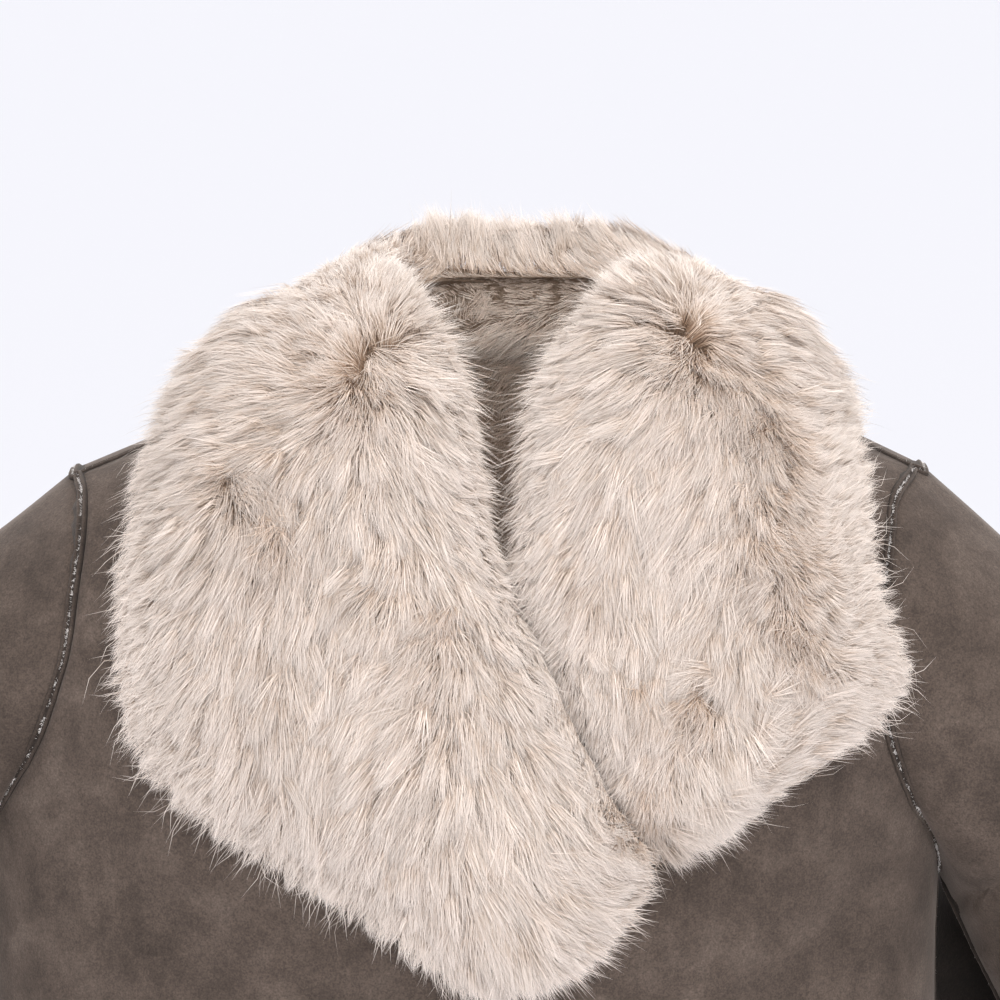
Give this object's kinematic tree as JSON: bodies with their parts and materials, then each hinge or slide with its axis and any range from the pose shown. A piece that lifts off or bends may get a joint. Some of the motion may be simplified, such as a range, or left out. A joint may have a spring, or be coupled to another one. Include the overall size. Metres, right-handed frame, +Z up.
{
  "type": "faux fur collared suede-faced coat",
  "caption": "Short suede-faced coat with a deep long-pile fur shawl collar, filled out as worn, open at the neck, hem and cuffs.",
  "frame": {"origin": "middle of the neck, level with the points where the shoulder seams meet it, where a wearer's shoulders hold the coat up", "axes": "+Z up, -Y out of the front, +X towards the wearer's left"},
  "size_m": [1.01, 0.3415, 0.7952],
  "materials": {
    "suede": "matte brushed suede face, mottled",
    "collar_fur": "long soft pile",
    "neck_fur": "shorter soft pile"
  },
  "bodies": {
    "root": {"back": "suede", "front_right": "suede", "front_left": "suede", "sleeve_right": "suede", "sleeve_left": "suede", "collar": "collar_fur", "lapel_right": "collar_fur", "lapel_left": "collar_fur", "neck_fur": "neck_fur"}
  },
  "joints": []
}
